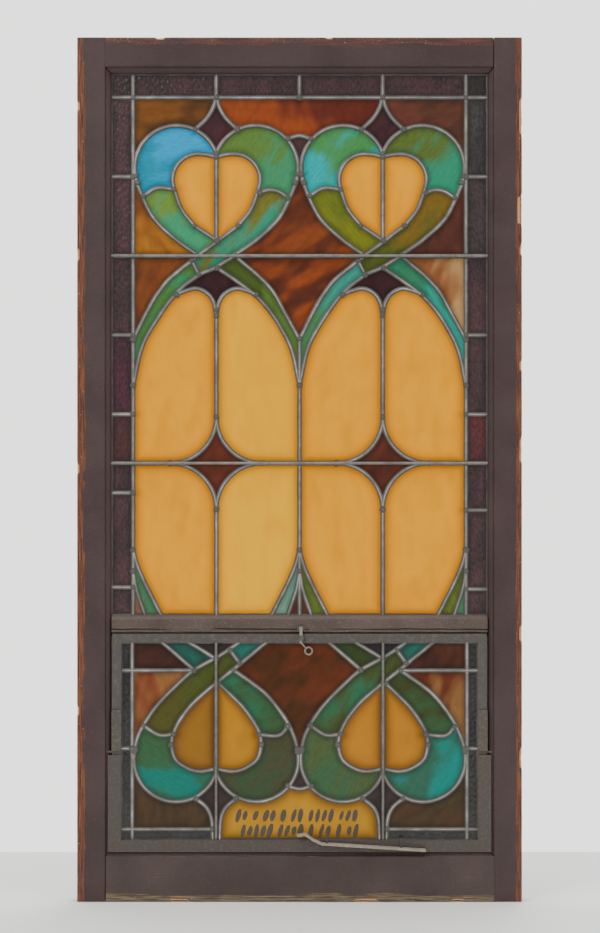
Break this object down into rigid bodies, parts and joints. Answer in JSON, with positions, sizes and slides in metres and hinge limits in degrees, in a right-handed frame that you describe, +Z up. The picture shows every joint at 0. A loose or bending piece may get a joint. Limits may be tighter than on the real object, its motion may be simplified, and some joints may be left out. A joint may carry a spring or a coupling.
{
  "type": "stained glass window",
  "caption": "Painted wood window sash with a fixed leaded light of hearts, ribbons and amber panes above a pivoting steel vent glazed to match.",
  "frame": {"origin": "middle of the sash's bottom edge, half way through its thickness, where it sits on a sill", "axes": "+Z up, +X to the right seen from the room side, +Y to the outside"},
  "size_m": [0.93, 0.0598, 1.806],
  "materials": {
    "painted_wood": "old dull brown paint, worn to bare wood at the edges",
    "lead": "dull grey lead came with soldered joints",
    "steel": "dark round bar",
    "painted_steel": "thin old paint over steel, dusty",
    "old_steel": "bare old steel, tarnished",
    "amber_glass": "opalescent amber sheet glass",
    "green_glass": "streaky green sheet glass",
    "teal_glass": "streaky teal sheet glass",
    "blue_glass": "streaky blue sheet glass",
    "rust_glass": "streaky rust and amber sheet glass",
    "brown_glass": "streaky brown sheet glass",
    "purple_glass": "hammered dark purple glass",
    "smoke_glass": "hammered smoke-dark glass"
  },
  "bodies": {
    "root": {"left_stile": "painted_wood", "right_stile": "painted_wood", "top_rail": "painted_wood", "bottom_rail": "painted_wood", "transom": "painted_wood", "upper_leads": "lead", "lower_saddle_bar": "steel", "upper_saddle_bar": "steel", "vent_frame": "painted_steel", "vent_lower_flange": "painted_steel", "keeper_plate": "old_steel", "stay_bar": "old_steel", "upper_border_glass": "purple_glass", "upper_ground_glass": "rust_glass", "centre_ground_glass": "rust_glass", "left_ground_glass": "rust_glass", "right_ground_glass": "brown_glass", "left_heart_glass": "amber_glass", "right_heart_glass": "amber_glass", "left_lobe_glass": "blue_glass", "right_lobe_glass": "teal_glass", "left_over_ribbon_glass": "green_glass", "right_over_ribbon_glass": "green_glass", "left_under_ribbon_glass": "teal_glass", "right_under_ribbon_glass": "teal_glass", "left_diamond_glass": "purple_glass", "right_diamond_glass": "purple_glass", "left_upper_left_amber_glass": "amber_glass", "left_upper_right_amber_glass": "amber_glass", "right_upper_left_amber_glass": "amber_glass", "right_upper_right_amber_glass": "amber_glass", "left_lower_left_amber_glass": "amber_glass", "left_lower_right_amber_glass": "amber_glass", "right_lower_left_amber_glass": "amber_glass", "right_lower_right_amber_glass": "amber_glass", "lower_left_leaf_glass": "green_glass", "lower_centre_leaf_glass": "green_glass", "lower_right_leaf_glass": "green_glass"},
    "vent": {"vent_sash": "painted_steel", "vent_leads": "lead", "vent_left_bar": "steel", "vent_right_bar": "steel", "left_pivot_sleeve": "old_steel", "right_pivot_sleeve": "old_steel", "catch_plate": "old_steel", "vent_left_border_glass": "smoke_glass", "vent_right_border_glass": "smoke_glass", "vent_left_ground_glass": "rust_glass", "vent_right_ground_glass": "brown_glass", "vent_centre_ground_glass": "brown_glass", "inscription_glass": "amber_glass", "vent_left_heart_glass": "amber_glass", "vent_right_heart_glass": "amber_glass", "vent_left_over_ribbon_glass": "green_glass", "vent_right_over_ribbon_glass": "green_glass", "vent_left_lobe_glass": "teal_glass", "vent_right_lobe_glass": "teal_glass", "vent_left_under_ribbon_glass": "teal_glass", "vent_right_under_ribbon_glass": "teal_glass"},
    "bolt": {"catch_bolt": "old_steel"}
  },
  "joints": [
    {"name": "vent_tilt", "type": "hinge", "parent": "root", "child": "vent", "pos_m": [0, -0.015, 0.312], "axis": [1, 0, 0], "range_deg": [0, 60]},
    {"name": "bolt_draw", "type": "slide", "parent": "vent", "child": "bolt", "axis": [0, 0, -1], "range_m": [0, 0.012], "stiffness_N_per_m": 200, "springref_m": -0.01}
  ]
}
